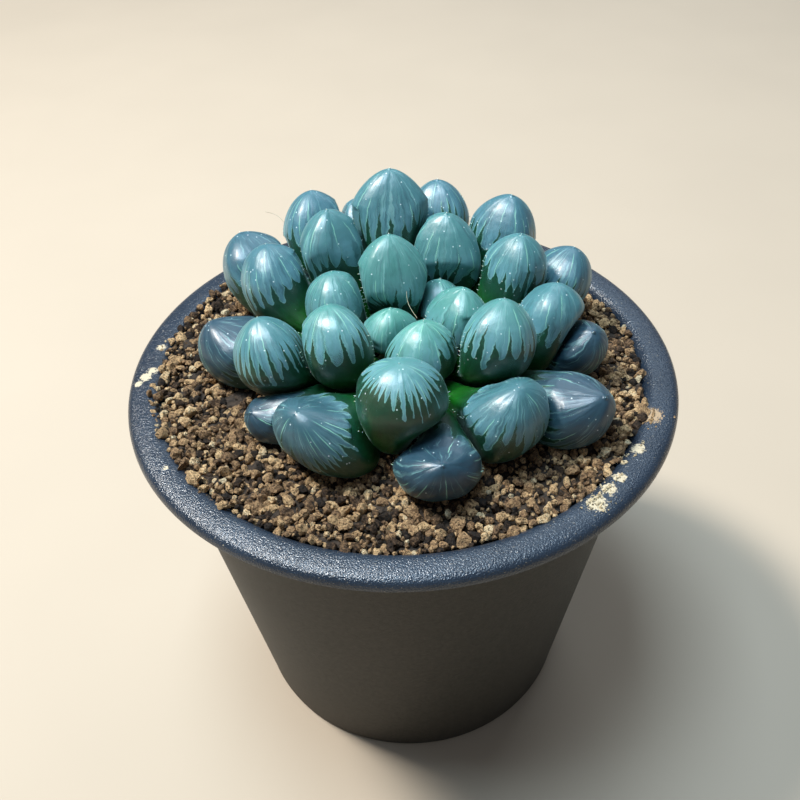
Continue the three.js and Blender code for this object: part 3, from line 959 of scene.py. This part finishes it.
def grain_heights(places, radii, leaf_points, outline):
    """Heights of the grains' middles: on the bed or the rim, lower under the leaves."""
    tree = KDTree(len(leaf_points))
    for index, point in enumerate(leaf_points):
        tree.insert(Vector(point), index)
    tree.balance()
    distance = np.hypot(places[:, 0], places[:, 1])
    heights = SOIL_LEVEL + 0.3 - 0.2 * radii + chance.uniform(-0.4, 0.75, len(radii))
    heights = np.minimum(heights, GRAIN_TOP - radii)
    on_rim = rim_height(distance, outline) + 0.55 * radii
    heights = np.where(distance > LIP_INSIDE - 0.4, np.maximum(heights, on_rim), heights)
    for index, (place, radius) in enumerate(zip(places, radii)):
        for _ in range(3):
            _, _, room = tree.find(Vector((place[0], place[1], heights[index])))
            heights[index] -= max(0.0, radius * 1.15 + 0.15 - room)
    return heights


def grain_tones(radii):
    tones = np.clip(chance.normal(MIDDLE_TONE, TONE_SPREAD, len(radii)), DARKEST_USUAL, PALEST_USUAL)
    tones = np.where(radii < FINEST_GRAIN, tones * FINEST_SHADE, tones)
    tones = np.where(chance.uniform(size=len(radii)) < DARK_SHARE, DARK_TONE, tones)
    return np.where(chance.uniform(size=len(radii)) < PALE_SHARE, PALE_TONE, tones)


def add_grains(name, places, radii, tones, material, level):
    net_points, net_faces = sphere_net(level)
    shapes = crumbs(len(radii), net_points) * radii[:, None, None] + places[:, None, :]
    starts = np.arange(len(radii))[:, None, None] * len(net_points)
    faces = (net_faces[None] + starts).reshape(-1, 3)
    grains = add_piece(name, shapes.reshape(-1, 3), faces.tolist(), material, smooth=False)
    add_point_value(grains, "tone", np.repeat(tones, len(net_points)))


def grain_material():
    material, tree, shader, place = new_material("soil_grains")
    tone = point_value(tree, "tone")
    mottle = calc(tree, "SUBTRACT", noise(tree, place, 2.2, 4.0, 0.7), 0.5)
    shade = scaled(tree, mottle, 0.9, tone)
    color = color_ramp(
        tree, shade,
        (0.0, (0.020, 0.017, 0.015)),
        (0.2, (0.10, 0.060, 0.036)),
        (0.42, (0.44, 0.265, 0.135)),
        (0.72, (0.92, 0.61, 0.31)),
        (1.0, (0.97, 0.82, 0.54)),
    )
    pores = noise(tree, place, 2.6, 5.0, 0.75)
    # Painted shade: the low spots of the pores' relief are darkened almost to black, where shade falls in
    # the pits
    color = blended(tree, ramped(tree, pores, 0.37, 0.52, 0.88, 0.0), color, PIT_SHADE_COLOR)
    feed_inputs(tree, shader, {"Base Color": color, "Roughness": 0.9, "Specular IOR Level": 0.25})
    add_bump(tree, shader, pores, 1.0, 1.0)
    return material


def shaded_bed_material():
    material, tree, shader, place = new_material("soil_bed_shade")
    shade = noise(tree, place, 1.1, 4.0, 0.7)
    # Painted shade: the bed is near black, as it shows only in the gaps between grains, where shade falls
    color = color_ramp(tree, shade, (0.3, (0.008, 0.006, 0.004)), (0.7, (0.05, 0.032, 0.02)))
    feed_inputs(tree, shader, {"Base Color": color, "Roughness": 0.95})
    add_bump(tree, shader, cells(tree, place, 1.2), 1.0, 0.5)
    return material


# Crumbs on the rim: turn, radius, spread, count, largest size, tone.
# Turns and radii follow what a scratch script printed for pixels picked by hand.
RIM_CRUMBS = (
    (337.5, 40.6, 1.5, 420, 0.2, 0.6),
    (350, 40.3, 0.1, 1, 0.8, 0.95),
    (328.5, 41.3, 0.7, 26, 0.16, 1.0),
    (325, 40.6, 0.8, 30, 0.18, 1.0),
    (322, 40.4, 0.3, 4, 0.6, 0.95),
    (317.5, 41.2, 0.8, 60, 0.2, 1.0),
    (313.5, 41.4, 1.1, 160, 0.22, 1.0),
    (309, 41.9, 1.3, 300, 0.24, 1.0),
    (172, 41.6, 0.6, 40, 0.2, 0.85),
    (169.5, 41.0, 0.4, 14, 0.3, 0.9),
)


def rim_height(radius, outline):
    """Height of the rim's top face at a radius."""
    top = outline[(outline[:, 1] > LIP_BOTTOM + 0.2) & (outline[:, 0] > LIP_INSIDE - 0.01)]
    order = np.argsort(top[:, 0])
    return np.interp(radius, top[order, 0], top[order, 1])


def rim_crumbs(outline):
    """Places, radii and tones of the crumbs that lie on the rim."""
    places = []
    radii = []
    tones = []
    for turn, distance, spread, count, largest, tone in RIM_CRUMBS:
        angle = math.radians(turn)
        for _ in range(count):
            x = distance * math.cos(angle) + chance.normal(0, spread * 0.6)
            y = distance * math.sin(angle) + chance.normal(0, spread * 0.6)
            radius = largest * (chance.uniform(0.35, 1) if count > 1 else 1)
            height = rim_height(math.hypot(x, y), outline) + radius * 0.35
            places.append((x, y, height))
            radii.append(radius)
            tones.append(tone + chance.uniform(-0.12, 0.05))
    return np.array(places), np.array(radii), np.array(tones)


# Pot
def curve_points(start, control, end):
    steps = np.linspace(0, 1, POT_CURVE_STEPS + 1)[1:, None]
    return (1 - steps) ** 2 * start + 2 * (1 - steps) * steps * control + steps**2 * end


def inside_radius(height):
    return BASE_RADIUS + (NECK_RADIUS - BASE_RADIUS) * height / RIM_BOTTOM - WALL


def pot_outline():
    """Radius and height of the pot's closed outline, as in the solid model."""
    ring_inside = FOOT_RADIUS - FOOT_WIDTH
    path = [
        ((DRAIN_RADIUS, FOOT_HEIGHT), None),
        ((ring_inside - FOOT_SLOPE, FOOT_HEIGHT), None),
        ((ring_inside, 0), None),
        ((FOOT_RADIUS, 0), None),
        ((BASE_RADIUS, FOOT_ROUND), (BASE_RADIUS, 0)),
        ((NECK_RADIUS, RIM_BOTTOM), None),
        ((NECK_RADIUS + HOLLOW_ROUND, HOLLOW_TOP), (NECK_RADIUS, HOLLOW_TOP)),
        ((SKIRT_INSIDE, RIM_BOTTOM + SKIRT_LIFT), (SKIRT_INSIDE, HOLLOW_TOP)),
        ((RIM_RADIUS, RIM_BOTTOM + SKIRT_LIFT), None),
        ((RIM_RADIUS - EDGE_ROUND, POT_HEIGHT - EDGE_DROP), (RIM_RADIUS, EDGE_HEIGHT)),
        ((LIP_RADIUS + LIP_ROUND, POT_HEIGHT), (RIM_RADIUS - 2 * EDGE_ROUND, POT_HEIGHT)),
        ((LIP_INSIDE, LIP_BOTTOM), (LIP_RADIUS, POT_HEIGHT)),
        ((inside_radius(RIM_BOTTOM), RIM_BOTTOM), None),
        ((inside_radius(FLOOR_TOP), FLOOR_TOP), None),
        ((DRAIN_RADIUS, FLOOR_TOP), None),
    ]
    points = [np.array([path[0][0]], dtype=float)]
    for end, control in path[1:]:
        end = np.array(end, dtype=float)
        if control is None:
            points.append(end[None])
        else:
            points.append(curve_points(points[-1][-1], np.array(control, dtype=float), end))
    return np.vstack(points)


def add_pot(outline, rim_skin, wall_skin):
    """The pot's outline turned about its axis, closed on itself."""
    angle = 2 * math.pi * np.arange(POT_SIDES) / POT_SIDES
    rings = np.stack([
        outline[:, :1] * np.cos(angle)[None],
        outline[:, :1] * np.sin(angle)[None],
        np.repeat(outline[:, 1:], POT_SIDES, axis=1),
    ], axis=2)
    faces = grid_faces(len(outline), POT_SIDES, closed=True)
    pot = add_piece("pot_body", rings.reshape(-1, 3), faces, rim_skin)
    pot.data.materials.append(wall_skin)
    # The rim's faces take the sky-tinted material and the wall's faces the floor-lit one: painted light on
    # one plastic
    wall_top = RIM_BOTTOM * METRES_PER_MM + HEIGHT_SLACK
    for face in pot.data.polygons:
        highest = max(pot.data.vertices[corner].co.z for corner in face.vertices)
        face.material_index = 1 if highest <= wall_top else 0
    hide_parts("pot")
    pot.data.set_sharp_from_angle(angle=SHARP_ANGLE)


# Pale residue on the rim: turn, radius, size, the first two found as for the crumbs
POWDER_COLOR = (0.58, 0.48, 0.32, 1)
TAN_COLOR = (0.40, 0.27, 0.15, 1)
TAN_PATCH = 338
RESIDUE = (
    (TAN_PATCH, 41.0, 2.9),
    (327, 41.0, 1.9),
    (317.5, 41.4, 1.6),
    (313.5, 41.5, 1.9),
    (309, 42.0, 2.5),
    (182, 42.3, 1.7),
    (184, 43.4, 1.2),
    (180, 41.4, 1.4),
    (171.5, 41.4, 1.3),
    (212.5, 42.0, 0.7),
)


def sky_tinted_rim_material():
    material, tree, shader, place = new_material("pot_rim_sky_tinted")
    cloud = noise(tree, place, 0.12, 3.0)
    mottle = noise(tree, place, 1.4, 3.0, 0.6)
    # Painted reflection: the rim's blue tint stands in for the sky it reflects; rim and wall are one dark
    # plastic
    color = color_ramp(tree, cloud, (0.3, (0.012, 0.020, 0.033)), (0.7, (0.020, 0.032, 0.050)))

    powder = None
    tan = None
    for turn, distance, size in RESIDUE:
        angle = math.radians(turn)
        centre = (distance * math.cos(angle), distance * math.sin(angle), POT_HEIGHT)
        node = tree.nodes.new("ShaderNodeVectorMath")
        node.operation = "DISTANCE"
        tree.links.new(place, node.inputs[0])
        node.inputs[1].default_value = centre
        near = ramped(tree, node.outputs["Value"], size * 0.2, size, 1.0, 0.0)
        powder = near if powder is None else calc(tree, "MAXIMUM", powder, near)
        tan = near if turn == TAN_PATCH else tan
    breaks = noise(tree, place, 2.4, 4.0, 0.7)
    powder = ramped(tree, scaled(tree, powder, 0.34, breaks), 0.66, 0.76, 0.0, 0.9)
    powder_color = blended(tree, ramped(tree, tan, 0.0, 0.2), POWDER_COLOR, TAN_COLOR)
    dust = product(tree, ramped(tree, noise(tree, place, 4.5, 2.0), 0.66, 0.74), 0.25)
    color = blended(tree, calc(tree, "MAXIMUM", powder, dust), color, powder_color)

    polish = ramped(tree, mottle, 0.3, 0.7, 0.18, 0.3)
    roughness = scaled(tree, powder, 0.4, polish)
    feed_inputs(tree, shader, {"Base Color": color, "Roughness": roughness, "Specular IOR Level": 0.6})
    pores = noise(tree, place, 4.5, 2.0, 0.5)
    knobs = cells(tree, place, 3.0)
    add_bump(tree, shader, scaled(tree, knobs, -0.5, pores), 1.0, 0.1)
    return material


def floor_lit_wall_material():
    material, tree, shader, place = new_material("pot_wall_floor_lit")
    mottle = noise(tree, place, 1.4, 3.0, 0.6)
    # Painted light: the wall's warm tint stands in for light bounced up from the floor; rim and wall are one
    # dark plastic
    color = color_ramp(tree, mottle, (0.3, (0.028, 0.0255, 0.020)), (0.7, (0.048, 0.043, 0.034)))
    feed_inputs(tree, shader, {"Base Color": color, "Roughness": 0.5, "Specular IOR Level": 0.22})
    add_bump(tree, shader, noise(tree, place, 4.5, 3.0, 0.6), 1.0, 0.06)
    return material


def stem_material():
    material, tree, shader, place = new_material("stem")
    color = color_ramp(
        tree, noise(tree, place, 0.7, 4.0), (0.35, (0.05, 0.12, 0.02)), (0.65, (0.16, 0.12, 0.06))
    )
    feed_inputs(tree, shader, {"Base Color": color, "Roughness": 0.7})
    add_bump(tree, shader, noise(tree, place, 2.0, 4.0), 0.6, 0.3)
    return material


# Stage and light
FLOOR_COLOR = (0.50, 0.41, 0.31)
FLOOR_HALF = 3
SKY_COLOR = (0.80, 0.88, 1.0, 1)
SKY_STRENGTH = 0.2
LIGHT_TARGET = Vector((0, 0, 0.07))

# Lights, in metres and watts: name, direction, distance, width, height, power, colour
LIGHTS = (
    ("key", (-0.49, 0.15, 0.86), 0.8, 0.13, 0.13, 8.6, (1.0, 0.98, 0.94)),
    ("haze", (-0.16, 0.02, 0.98), 0.75, 0.34, 0.28, 5.6, (0.62, 0.82, 1.0)),
    ("sky", (0.25, 0.70, 0.66), 0.9, 0.6, 0.35, 2.0, (0.75, 0.88, 1.0)),
)


def add_floor():
    material, tree, shader, place = new_material("floor")
    dark = tuple(part * 0.97 for part in FLOOR_COLOR)
    color = color_ramp(tree, noise(tree, place, 0.02, 2.0), (0.3, dark), (0.7, FLOOR_COLOR))
    feed_inputs(tree, shader, {"Base Color": color, "Roughness": 0.8})
    mesh = bpy.data.meshes.new("floor")
    corners = [(FLOOR_HALF * x, FLOOR_HALF * y, 0) for x, y in ((-1, -1), (1, -1), (1, 1), (-1, 1))]
    mesh.from_pydata(corners, [], [(0, 1, 2, 3)])
    mesh.materials.append(material)
    floor = bpy.data.objects.new("floor", mesh)
    scene.collection.objects.link(floor)


def add_light(name, direction, distance, width, height, power, color):
    data = bpy.data.lights.new(name, "AREA")
    data.shape = "RECTANGLE"
    data.size = width
    data.size_y = height
    data.energy = power
    data.color = color
    lamp = bpy.data.objects.new(name, data)
    away = Vector(direction).normalized()
    lamp.location = LIGHT_TARGET + away * distance
    lamp.rotation_euler = away.to_track_quat("Z", "Y").to_euler()
    scene.collection.objects.link(lamp)


def light_scene():
    world = bpy.data.worlds.new("studio")
    scene.world = world
    world.use_nodes = True
    sky = world.node_tree.nodes["Background"]
    feed_inputs(world.node_tree, sky, {"Color": SKY_COLOR, "Strength": SKY_STRENGTH})
    for light in LIGHTS:
        add_light(*light)
    scene.view_settings.view_transform = "Standard"


def aim_camera():
    data = bpy.data.cameras.new("photo_camera")
    data.sensor_width = SENSOR_WIDTH
    data.lens = FOCAL_LENGTH
    data.clip_start = 0.01
    camera = bpy.data.objects.new("photo_camera", data)
    place = Matrix.Translation(Vector(CAMERA_PLACE) * METRES_PER_MM)
    tilted = Matrix.Rotation(math.pi / 2 - CAMERA_PITCH, 4, "X")
    camera.matrix_world = place @ tilted @ Matrix.Rotation(CAMERA_ROLL, 4, "Z")
    scene.collection.objects.link(camera)
    scene.camera = camera


def build_leaves():
    """All leaves and their teeth; gives back the skin points for the soil to keep clear of."""
    leaves = [leaf_from_row(index, row) for index, row in enumerate(LEAF_ROWS)]
    crowd = crowd_of(leaves)
    skin = leaf_material()
    teeth = []
    points = []
    for leaf in leaves:
        rings, tip = add_leaf(leaf, crowd, skin)
        teeth.extend(margin_teeth(leaf, rings, tip))
        points.append(rings.reshape(-1, 3))
    tooth_points, tooth_faces = joined(teeth)
    tooth_skin = bristle_material("leaf_teeth", *TOOTH_COLORS)
    add_piece("leaf_teeth", tooth_points, tooth_faces, tooth_skin)
    points = np.vstack(points)
    hair_points, hair_faces = joined([hair(foot, end, points) for foot, end in HAIRS])
    hair_skin = bristle_material("dry_hairs", *HAIR_COLORS)
    add_piece("dry_hairs", hair_points, hair_faces, hair_skin)
    return points


def dress_solid(name, material):
    """Gives a solid of the source its material."""
    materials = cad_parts[name].data.materials
    materials.clear()
    materials.append(material)


def build_soil(leaf_points, outline):
    """Grains over the bed and crumbs on the rim."""
    low = leaf_points[leaf_points[:, 2] < GRAIN_TOP + NEAR_BED]
    places, radii = scattered_grains()
    heights = grain_heights(places, radii, low, outline)
    spots = np.column_stack([places, heights])
    tones = grain_tones(radii)
    material = grain_material()
    coarse = radii > FINE_GRAIN
    finest = radii < FINEST_GRAIN
    medium = ~coarse & ~finest
    for size, chosen, level in (("coarse", coarse, 2), ("medium", medium, 1), ("fine", finest, 1)):
        add_grains(f"soil_grains_{size}", spots[chosen], radii[chosen], tones[chosen], material, level)
    rim_places, rim_radii, rim_tones = rim_crumbs(outline)
    add_grains("soil_crumbs_on_rim", rim_places, rim_radii, rim_tones, material, 1)
    dress_solid("soil", shaded_bed_material())


aim_camera()
light_scene()
add_floor()
outline = pot_outline()
add_pot(outline, sky_tinted_rim_material(), floor_lit_wall_material())
build_soil(build_leaves(), outline)
dress_solid("stem", stem_material())
